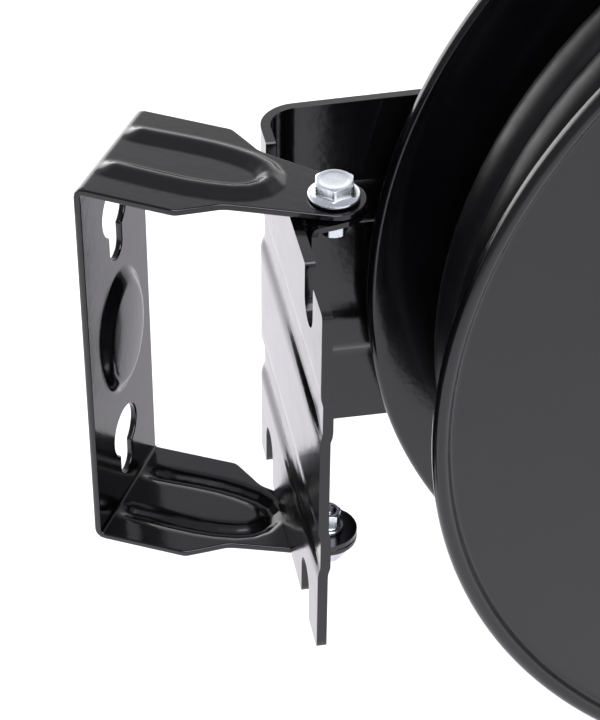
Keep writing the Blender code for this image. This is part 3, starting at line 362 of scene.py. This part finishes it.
FB = 2.45
bc = FF_R - FB
front = [(48.0, FF_V - FL_T), (48.0, FF_V), (110.0, FF_V), (bc - 4.0, FF_V)] + arc(bc, FF_V - FB, FB, 90, -172, 28) + [(bc - FB - 0.12, FF_V - FL_T - 1.25), (bc - FB - 0.35, FF_V - FL_T - 0.72), (bc - FB - 0.75, FF_V - FL_T - 0.30), (bc - FB - 1.4, FF_V - FL_T - 0.07), (bc - FB - 2.3, FF_V - FL_T), (110.0, FF_V - FL_T)]
vs, fs = lathe(front, 288)
front_fl = make("front_flange_disc", vs, fs, SATIN, "drum", DM, 40.0)
bc = RF_R - BEAD
rear = [(20.0, RF_V), (20.0, RF_V + FL_T), (110.0, RF_V + FL_T), (bc - BEAD - 1.5, RF_V + FL_T), (bc - BEAD - 0.75, RF_V + FL_T + 0.12), (bc - BEAD - 0.25, RF_V + FL_T + 0.42)] + arc(bc, RF_V + BEAD, BEAD, 186, -90, 28) + [(bc - 4.0, RF_V), (110.0, RF_V)]
vs, fs = lathe(rear, 288)
rear_fl = make("rear_flange_disc", vs, fs, SATIN_R, "drum", DM, 40.0)
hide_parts("front_flange")
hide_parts("rear_flange")


# ---- pressed sheet, fine ----------------------------------------------------------
def ring_pts(cx, cy, r, n, a0=0.0):
    return [(cx + r * math.cos(a0 + 2 * math.pi * i / n), cy + r * math.sin(a0 + 2 * math.pi * i / n)) for i in range(n)]


def dense(lp, step):
    out = []
    n = len(lp)
    for i in range(n):
        ax, ay = lp[i]
        bx, by = lp[(i + 1) % n]
        k = max(1, int(math.ceil(math.hypot(bx - ax, by - ay) / step)))
        out += [(ax + (bx - ax) * j / k, ay + (by - ay) * j / k) for j in range(k)]
    return out


def inside_np(P, poly):
    P = np.asarray(P, float)
    q = np.asarray(poly, float)
    x, y = P[:, 0], P[:, 1]
    c = np.zeros(len(P), bool)
    for i in range(len(q)):
        x0, y0 = q[i]
        x1, y1 = q[(i + 1) % len(q)]
        if y0 == y1:
            continue
        t = ((y0 > y) != (y1 > y)) & (x < (x1 - x0) * (y - y0) / (y1 - y0) + x0)
        c ^= t
    return c


def gap_np(P, poly):
    P = np.asarray(P, float)
    q = np.asarray(poly, float)
    best = np.full(len(P), 1e9)
    for i in range(len(q)):
        a, b = q[i], q[(i + 1) % len(q)]
        d = b - a
        l2 = max(d @ d, 1e-12)
        t = np.clip(((P - a) @ d) / l2, 0, 1)
        e = P - a - t[:, None] * d
        best = np.minimum(best, np.hypot(e[:, 0], e[:, 1]))
    return best


def formed(outline, holes, grid, shape, t, clear):
    loops = [outline] + list(holes)
    verts, edges = [], []
    for lp in loops:
        k = len(verts)
        verts += [Vector(p) for p in lp]
        edges += [(k + i, k + (i + 1) % len(lp)) for i in range(len(lp))]
    G = np.array(grid, float)
    keep = inside_np(G, outline)
    for h in holes:
        keep &= ~inside_np(G, h)
    G = G[keep]
    for lp in loops:
        G = G[gap_np(G, lp) > clear]
    verts += [Vector((float(x), float(y))) for x, y in G]
    vo, eo, fo, _, _, _ = geometry.delaunay_2d_cdt(verts, edges, [], 0, 1e-6)
    C = np.array([(sum(vo[i].x for i in f) / len(f), sum(vo[i].y for i in f) / len(f)) for f in fo])
    ok = inside_np(C, outline)
    for h in holes:
        ok &= ~inside_np(C, h)
    faces = [tuple(f) for f, k in zip(fo, ok) if k]
    vs, top, bot = [], {}, {}
    fs = []
    for f in faces:
        for i in f:
            if i not in top:
                P, N = shape(vo[i].x, vo[i].y)
                top[i] = len(vs)
                vs.append((P + N * t / 2) * MM)
                bot[i] = len(vs)
                vs.append((P - N * t / 2) * MM)
    count = {}
    for f in faces:
        fs.append(tuple(top[i] for i in f))
        fs.append(tuple(bot[i] for i in reversed(f)))
        for i in range(len(f)):
            e = (f[i], f[(i + 1) % len(f)])
            key = (min(e), max(e))
            count[key] = None if key in count else e
    for e in count.values():
        if e is not None:
            a, b = e
            fs.append((top[b], top[a], bot[a], bot[b]))
    return vs, fs


def ramp(x):
    x = max(0.0, min(1.0, x))
    return x * x * (3 - 2 * x)


WB_W, WB_H, WB_T, WB_R = 43.1, 123.4, 2.0, 2.8
PHI_UP, PHI_LO = math.radians(91.40), math.radians(91.56)
half = WB_H / 2 - WB_R
rc_w = WB_R - WB_T / 2
BEAD_LINE = [(-3.0, 9.2), (4.0, 9.3), (10.0, 9.4), (20.0, 9.8), (28.0, 9.8), (34.0, 9.2), (40.0, 8.0), (44.0, 6.2), (46.7, 3.4), (47.8, 0.0)]
BEAD_W, BEAD_H = 4.3, 2.1


def arm_s(x, phi):
    return half + rc_w * phi + (x - WB_R + rc_w * math.cos(phi)) / math.sin(phi)


def bead_dist(sx, w):
    best = 1e9
    w = abs(w)
    for (ax, ay), (bx, by) in zip(BEAD_LINE[:-1], BEAD_LINE[1:]):
        dx, dy = bx - ax, by - ay
        t = max(0.0, min(1.0, ((sx - ax) * dx + (w - ay) * dy) / (dx * dx + dy * dy)))
        best = min(best, math.hypot(sx - ax - t * dx, w - ay - t * dy))
    return best


def bracket_h(s, w):
    phi = PHI_UP if s > 0 else PHI_LO
    a = abs(s)
    h = 0.0
    d = bead_dist(a - arm_s(0.0, phi), w)
    if d < BEAD_W:
        h += BEAD_H * (0.5 + 0.5 * math.cos(math.pi * d / BEAD_W)) * ramp((a - (half + 1.6)) / 6.0)
    rho = math.hypot((w - 0.7) / 14.9, s / 21.0)
    if rho < 1.0:
        h -= 2.2 * ramp((1.0 - rho) / 0.28)
        if rho < 0.75:
            h -= 0.5 * (1.0 - (rho / 0.75) ** 2)
    return h


def bracket_base(s, w):
    sg = 1.0 if s >= 0 else -1.0
    phi = PHI_UP if s > 0 else PHI_LO
    a = abs(s)
    if a <= half:
        P, N = (WB_T / 2, a), (-1.0, 0.0)
    elif a <= half + rc_w * phi:
        q = (a - half) / rc_w
        P, N = (WB_R - rc_w * math.cos(q), half + rc_w * math.sin(q)), (-math.cos(q), math.sin(q))
    else:
        q = a - half - rc_w * phi
        N = (-math.cos(phi), math.sin(phi))
        P = (WB_R - rc_w * math.cos(phi) + q * math.sin(phi), half + rc_w * math.sin(phi) + q * math.cos(phi))
    return Vector((P[0], w, sg * P[1])), Vector((N[0], 0.0, sg * N[1]))


def pressed(base, height):
    """a point of the pressed middle surface and its true normal."""
    e = 0.04

    def at(s, w):
        P, N = base(s, w)
        return P + N * height(s, w)

    def shape(s, w):
        P, N = base(s, w)
        p = P + N * height(s, w)
        ds = at(s + e, w) - at(s - e, w)
        dw = at(s, w + e) - at(s, w - e)
        n = ds.cross(dw)
        if n.length < 1e-12:
            n = N
        n.normalize()
        if n.dot(N) < 0:
            n = -n
        return p, n
    return shape


def arm_half(x):
    if x <= 29.1:
        return WB_W / 2
    if x <= 39.6:
        return WB_W / 2 + (13.92 - WB_W / 2) * (x - 29.1) / 10.5
    return 13.92 - 0.1915 * (x - 39.6)


TIP_R = 8.78
slope = math.atan(0.1915)
tipx = PIVOT + TIP_R * math.sin(slope)
right = [(10.0, WB_W / 2), (20.0, WB_W / 2), (27.6, WB_W / 2), (28.4, WB_W / 2 - 0.06), (28.9, WB_W / 2 - 0.2), (29.5, WB_W / 2 - 0.5), (30.2, WB_W / 2 - 0.95), (34.5, arm_half(34.5)), (38.0, arm_half(38.0) + 0.02), (39.0, arm_half(39.0) + 0.12), (40.0, arm_half(40.0) + 0.2), (41.0, arm_half(41.0) + 0.06), (46.0, arm_half(46.0)), (54.0, arm_half(54.0)), (tipx, TIP_R * math.cos(slope))]
tip = []
for i in range(1, 28):
    a = math.pi / 2 - slope - (math.pi - 2 * slope) * i / 28
    tip.append((PIVOT + TIP_R * math.cos(a), TIP_R * math.sin(a)))
arm_pts = right + tip + [(x, -w) for x, w in reversed(right)]
outline = [(-arm_s(x, PHI_LO), w) for x, w in reversed(arm_pts)]
outline = outline[::-1] if False else outline
up = [(arm_s(x, PHI_UP), w) for x, w in arm_pts]
# upper arm from +w round to -w, then down the near side, lower arm, up the far side
outline = up + [(arm_s(6.0, PHI_UP), -WB_W / 2), (0.0, -WB_W / 2), (-arm_s(6.0, PHI_LO), -WB_W / 2)] + [(-arm_s(x, PHI_LO), w) for x, w in reversed(arm_pts)] + [(-arm_s(6.0, PHI_LO), WB_W / 2), (0.0, WB_W / 2), (arm_s(6.0, PHI_UP), WB_W / 2)]
outline = dense(outline, 1.3)
KEY_R, KEY_SLOT = 8.0, 4.05


def keyhole(zc, zs):
    pts = []
    ang = math.asin(KEY_SLOT / KEY_R)
    a0, a1 = -math.pi / 2 + ang, 3 * math.pi / 2 - ang
    for i in range(49):
        a = a0 + (a1 - a0) * i / 48
        pts.append((zc + KEY_R * math.sin(a), KEY_R * math.cos(a)))
    for i in range(21):
        a = math.pi + math.pi * i / 20
        pts.append((zs + KEY_SLOT * math.sin(a), KEY_SLOT * math.cos(a)))
    return dense(pts, 1.2)


holes = [keyhole(41.8, 29.55), keyhole(-36.5, -48.1), ring_pts(arm_s(PIVOT, PHI_UP), 0, 3.4, 32), ring_pts(-arm_s(PIVOT, PHI_LO), 0, 3.4, 32)]
smax = arm_s(PIVOT + 9, PHI_UP)
# grid lines follow the bends, so the bent strips stay clean
s_lines = []
s = 0.0
bend0, bend1 = half, half + rc_w * PHI_UP
k = 84
s_lines += [half * i / k for i in range(k)]
s_lines += [half + rc_w * PHI_UP * i / 12 for i in range(12)]
k = int((smax - bend1) / 0.7)
s_lines += [bend1 + (smax - bend1) * i / k for i in range(k + 1)]
w_lines = [-WB_W / 2 + WB_W * i / 62 for i in range(63)]
grid = [(sg * s, w) for s in s_lines for w in w_lines for sg in (1, -1) if not (s == 0 and sg < 0)]
vs, fs = formed(outline, holes, grid, pressed(bracket_base, bracket_h), WB_T, 0.45)
bracket = make("wall_bracket_pressing", vs, fs, GLOSS_E, "wall", Matrix.Translation((0, 0, MID_Z * MM)), 40.0)
edge_round(bracket, 0.00055, 3)
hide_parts("wall_bracket")

# frame: plate and side arm
PL_U0, PL_T, PL_V0, PL_V1, PL_R, PL_Z = -12.24, 2.83, -47.0, 54.39, 11.46, 56.6
RIB_IN, RIB_OUT, RIB_D = 15.6, 30.9, 1.05
NOTCH_V, NOTCH_R, NOTCH_Z = 29.35, 5.55, 47.2
PL_ZL = 57.9
rc_f = PL_R - PL_T / 2
L1 = PL_V1 - PL_R - PL_V0
L2 = L1 + rc_f * math.pi / 2
ARM_U = PL_U0 + PL_R


def arm_top(u):
    return PL_Z + 0.3 + 0.0243 * (u - ARM_U)


def rib_depth(s, z):
    d = abs(z)
    mid, hw = (RIB_IN + RIB_OUT) / 2, (RIB_OUT - RIB_IN) / 2
    return -RIB_D * ramp((hw - abs(d - mid)) / 2.7) * (1.0 - ramp((s - (L2 + 66.0)) / 10.0)) * (0.62 + 0.38 * ramp(s / 14.0))


def frame_base(s, w):
    if s <= L1:
        P, N = (PL_U0 + PL_T / 2, PL_V0 + s), (-1.0, 0.0)
    elif s <= L2:
        q = (s - L1) / rc_f
        P, N = (PL_U0 + PL_R - rc_f * math.cos(q), PL_V1 - PL_R + rc_f * math.sin(q)), (-math.cos(q), math.sin(q))
    else:
        P, N = (ARM_U + s - L2, PL_V1 - PL_T / 2), (0.0, 1.0)
    return Vector((P[0], P[1], w)), Vector((N[0], N[1], 0.0))


def su(u):
    return L2 + u - ARM_U


def notch(sc, sg):
    n = 20
    ez = PL_Z if sg > 0 else PL_ZL
    pts = [(sc - NOTCH_R - 0.5, ez), (sc - NOTCH_R, ez - 0.6)]
    for i in range(n + 1):
        a = math.pi + math.pi * i / n
        pts.append((sc + NOTCH_R * math.cos(a), NOTCH_Z + NOTCH_R * math.sin(a)))
    pts += [(sc + NOTCH_R, ez - 0.6), (sc + NOTCH_R + 0.5, ez)]
    return [(s, sg * z) for s, z in pts]


END_R = 40.0
top_edge = [(0.0, PL_Z - 1.2), (0.35, PL_Z - 0.35), (1.2, PL_Z)] + notch(-NOTCH_V - PL_V0, 1) + notch(NOTCH_V - PL_V0, 1) + [(L1, PL_Z + 0.1)] + [(L1 + (L2 - L1) * k / 12, PL_Z + 0.1 + 0.2 * k / 12) for k in range(1, 13)]
top_edge += [(su(30), arm_top(30)), (su(72), arm_top(72)), (su(86), arm_top(86) - 3.0), (su(DR_U - 38), END_R * 0.93 + 8.0)]
for i in range(41):
    a = math.radians(112) - math.radians(224) * i / 40
    top_edge.append((su(DR_U + END_R * math.cos(a)), END_R * math.sin(a)))
bot_edge = [(0.0, -PL_ZL + 1.2), (0.35, -PL_ZL + 0.35), (1.2, -PL_ZL)] + notch(-NOTCH_V - PL_V0, -1) + notch(NOTCH_V - PL_V0, -1) + [(L1, -PL_ZL)] + [(L1 + (L2 - L1) * k / 12, -PL_ZL) for k in range(1, 13)]
bot_edge += [(su(30), -57.9), (su(72), -58.4), (su(86), -55.4), (su(DR_U - 38), -END_R * 0.93 - 8.0)]
f_out = dense(top_edge + list(reversed(bot_edge)), 1.6)
PAWL_U, PAWL_Z = DR_U - 62 * math.cos(math.radians(30)), 62 * math.sin(math.radians(30))
SCR_U, SCR_Z = DR_U + 27.0, -14.0
f_holes = [ring_pts(su(DR_U), 0, 8.3, 48), ring_pts(su(PAWL_U), PAWL_Z, 3.3, 24), ring_pts(su(SCR_U), SCR_Z, 2.8, 24)]
s_lines = [L1 * i / 48 for i in range(48)] + [L1 + (L2 - L1) * i / 16 for i in range(16)] + [L2 + 80.0 * i / 40 for i in range(41)] + [L2 + 80 + (su(DR_U + 38) - L2 - 80) * i / 30 for i in range(1, 31)]
z_lines = sorted(set([round(sg * z, 4) for z in [0, 3.9, 7.8, 11.7] + [RIB_IN + (RIB_OUT - RIB_IN) * i / 16 for i in range(17)] + [33.5, 37, 41, 45, 49, 53] for sg in (1, -1)]))
grid = [(s, z) for s in s_lines for z in z_lines]
vs, fs = formed(f_out, f_holes, grid, pressed(frame_base, rib_depth), PL_T, 0.5)
frame_ob = make("reel_frame_pressing", vs, fs, FRAME_P, "frame", swing_matrix(), 40.0)
edge_round(frame_ob, 0.0005, 3)
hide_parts("reel_frame")

for n in ("guide_arm", "guide_cage", "pivot_channel", "pawl", "ratchet_wheel"):
    edge_round(NODES[n], 0.00050 if n == "pivot_channel" else 0.00035, 3)

# ---- swivel bolts and nuts, fine --------------------------------------------------
def hex_r(af, a0):
    def r(a):
        k = (a - a0) % (math.pi / 3) - math.pi / 6
        return min((af / 2) / math.cos(k), af / math.sqrt(3.0) - 0.10)
    return r


def spun(rows, n, loop):
    """rows of (radius, height); either may be a function of the angle."""
    vs, fs = [], []
    for r, z in rows:
        for i in range(n):
            a = AXA + 2 * math.pi * i / n
            rr = r(a) if callable(r) else r
            zz = z(a) if callable(z) else z
            vs.append((rr * math.cos(a) * MM, rr * math.sin(a) * MM, zz * MM))
    k = len(rows)
    for j in range(k if loop else k - 1):
        m = (j + 1) % k
        for i in range(n):
            h = (i + 1) % n
            fs.append((j * n + i, j * n + h, m * n + h, m * n + i))
    if not loop:
        fs.append(tuple(reversed(range(n))))
        fs.append(tuple(range((k - 1) * n, k * n)))
    return vs, fs


CH_Z, CH_T, GAP = 57.6, 1.6, 0.3
T30 = math.tan(math.radians(30))
for nm, tilt, turn in (("top", 1.40, 0.0), ("bottom", 1.56, math.pi)):
    za = 123.4 / 2 - 65.6 * math.tan(math.radians(tilt))
    PM = swing_matrix() @ Matrix.Rotation(turn, 4, 'X')
    AXA = math.radians(19)
    hr = hex_r(10.0, AXA)
    z1 = za + 5.65
    s0, s1 = CH_Z - CH_T - 7.2, CH_Z - CH_T - 0.4
    rows = [(0.9, s0), (1.55, s0), (1.8, s0 + 0.25)]
    nz = 60
    for i in range(nz + 1):
        z = s0 + 0.35 + (s1 - s0 - 0.35) * i / nz
        rows.append((lambda a, z=z: 2.0 - 0.26 * abs(((z / 0.8 + a / (2 * math.pi)) % 1.0) - 0.5) * 2, z))
    rows += [(3.0, CH_Z - CH_T + 0.2), (3.0, za + 0.55), (6.75, za + 0.55), (7.0, za + 0.66), (7.1, za + 0.88), (7.1, za + 1.2), (7.02, za + 1.4), (6.85, za + 1.53), (6.6, za + 1.62)]
    rows += [(lambda a: hr(a) + 0.32, lambda a: za + 1.66 + (6.6 - hr(a) - 0.32) * 0.34), (lambda a: hr(a) + 0.08, lambda a: za + 1.78 + (6.6 - hr(a)) * 0.34), (hr, lambda a: za + 2.0 + (6.6 - hr(a)) * 0.34)]
    rows += [(hr, za + 3.2), (hr, za + 4.2), (hr, lambda a: z1 - (hr(a) - 4.8) * T30)]
    rows += [(lambda a: 4.8 + (hr(a) - 4.8) * 0.5, lambda a: z1 - (hr(a) - 4.8) * 0.5 * T30), (4.8, z1), (4.55, z1), (3.9, z1), (3.6, z1 - 0.10), (3.2, z1 - 0.14), (1.2, z1 - 0.14)]
    vs, fs = spun(rows, 96, False)
    # top bolt takes the painted-lit zinc copy, the bottom bolt the plain zinc
    bolt = make("flange_bolt_" + nm, vs, fs, ZINC_LIT if nm == "top" else ZINC, "frame", PM, 28.0)
    edge_round(bolt, 0.00014, 2, 42.0)
    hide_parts("pivot_bolt_" + nm)
    AXA = math.radians(-2)
    hn = hex_r(7.0, AXA)
    zt = CH_Z - CH_T - GAP
    n0, n1, lim = zt - 6.3, zt - 1.0, 3.36
    rows = [(2.3, n0 + 0.3), (2.6, n0), (lim - 0.1, n0), (lim, n0), (hn, lambda a: n0 + (hn(a) - lim) * T30), (hn, n0 + 1.6), (hn, n1 - 1.6), (hn, lambda a: n1 - (hn(a) - lim) * T30), (lim, n1), (lim - 0.1, n1), (2.6, n1), (2.3, n1 - 0.3)]
    vs, fs = spun(rows, 72, True)
    # nuts take the painted-lit zinc copy
    nut = make("hex_nut_" + nm, vs, fs, ZINC_LIT, "frame", PM, 28.0)
    edge_round(nut, 0.00010, 2, 42.0)
    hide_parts("pivot_nut_" + nm)

# ---- stage and light ------------------------------------------------------------
fl = bpy.data.meshes.new("floor")
fl.from_pydata([(-6, -6, -0.42), (6, -6, -0.42), (6, 6, -0.42), (-6, 6, -0.42)], [], [(0, 1, 2, 3)])
floor = bpy.data.objects.new("floor", fl)
bpy.context.scene.collection.objects.link(floor)
fm, fnt, fb = new_mat("pale_floor_painted_dark_front", (0.90, 0.90, 0.90), 0.85)
# floor colour fades from 0.90 to 0.22 towards the front for non-camera rays: painted shade, a dark region mirrored in
# the glossy paint; camera rays see plain 0.95
away = fnt.nodes.new("ShaderNodeVectorMath")
away.operation = 'DOT_PRODUCT'
away.inputs[1].default_value = (-0.30, -0.95, 0.0)
fnt.links.new(coords(fnt), away.inputs[0])
lp = fnt.nodes.new("ShaderNodeLightPath")
seen = fnt.nodes.new("ShaderNodeMix")
seen.data_type = 'RGBA'
fnt.links.new(lp.outputs["Is Camera Ray"], seen.inputs[0])
fnt.links.new(tint(fnt, remap(fnt, away.outputs["Value"], 0.0, 1.0, 0.85, 1.8), (0.90, 0.90, 0.90), (0.22, 0.22, 0.22), 0.0, 1.0), seen.inputs[6])
seen.inputs[7].default_value = (0.95, 0.95, 0.95, 1.0)
fnt.links.new(seen.outputs[2], fb.inputs["Base Color"])
fl.materials.append(fm)

world = bpy.data.worlds.new("studio")
bpy.context.scene.world = world
world.use_nodes = True
wn = world.node_tree
for n in list(wn.nodes):
    wn.nodes.remove(n)
out = wn.nodes.new("ShaderNodeOutputWorld")
bg = wn.nodes.new("ShaderNodeBackground")
tc = wn.nodes.new("ShaderNodeTexCoord")
sep = wn.nodes.new("ShaderNodeSeparateXYZ")
wn.links.new(tc.outputs["Generated"], sep.inputs["Vector"])
sky = wn.nodes.new("ShaderNodeValToRGB")
SKY = [(0.0, 1.45), (0.45, 1.45), (0.53, 1.10), (0.57, 0.80), (0.66, 0.75), (0.82, 0.52), (1.0, 0.48)]
el = sky.color_ramp.elements
while len(el) < len(SKY):
    el.new(0.5)
for e, (pz, s) in zip(el, SKY):
    e.position = pz
for e, (pz, s) in zip(el, SKY):
    e.color = (s, s, s, 1.0) if pz < 0.56 else (s * 1.0, s * 0.955, s * 1.06, 1.0)
wn.links.new(sep.outputs["Z"], sky.inputs["Fac"])
wn.links.new(sky.outputs["Color"], bg.inputs["Color"])
front = wn.nodes.new("ShaderNodeVectorMath")
front.operation = 'DOT_PRODUCT'
front.inputs[1].default_value = (-0.30, -0.95, 0.0)
wn.links.new(tc.outputs["Generated"], front.inputs[0])
fade = wn.nodes.new("ShaderNodeMapRange")
fade.interpolation_type = 'SMOOTHSTEP'
fade.inputs["From Min"].default_value = 0.35
fade.inputs["From Max"].default_value = 0.85
fade.inputs["To Min"].default_value = 1.0
fade.inputs["To Max"].default_value = 0.20
wn.links.new(front.outputs["Value"], fade.inputs["Value"])
wn.links.new(fade.outputs["Result"], bg.inputs["Strength"])
plain = wn.nodes.new("ShaderNodeBackground")
plain.inputs["Color"].default_value = (1.0, 1.0, 1.0, 1.0)
plain.inputs["Strength"].default_value = 1.1
wlp = wn.nodes.new("ShaderNodeLightPath")
wmix = wn.nodes.new("ShaderNodeMixShader")
wn.links.new(wlp.outputs["Is Camera Ray"], wmix.inputs["Fac"])
wn.links.new(bg.outputs["Background"], wmix.inputs[1])
wn.links.new(plain.outputs["Background"], wmix.inputs[2])
wn.links.new(wmix.outputs["Shader"], out.inputs["Surface"])

sun = bpy.data.lights.new("front_fill", 'SUN')
sun.energy = 3.1
sun.angle = math.radians(50)
sun.color = (1.0, 0.955, 1.06)
sun_ob = bpy.data.objects.new("front_fill", sun)
bpy.context.scene.collection.objects.link(sun_ob)
sun_ob.rotation_euler = Vector((0.264, -0.746, 0.70)).to_track_quat('Z', 'Y').to_euler()


def area(name, loc, aim, size, power):
    d = bpy.data.lights.new(name, 'AREA')
    d.shape = 'RECTANGLE'
    d.size, d.size_y = size
    d.energy = power
    o = bpy.data.objects.new(name, d)
    bpy.context.scene.collection.objects.link(o)
    o.location = loc
    o.rotation_euler = (Vector(aim) - Vector(loc)).to_track_quat('-Z', 'Y').to_euler()
    return o


area("left_box", (-1.2, 0.08, 0.10), (0.1, 0.0, 0.10), (1.0, 1.0), 13.5)
area("far_left_box", (-1.15, 1.15, 0.22), (0.2, 0.0, 0.22), (1.2, 1.1), 7.5)

vs_ = bpy.context.scene.view_settings
vs_.view_transform = 'Standard'
vs_.look = 'None'
vs_.exposure = 0.0
vs_.gamma = 1.0
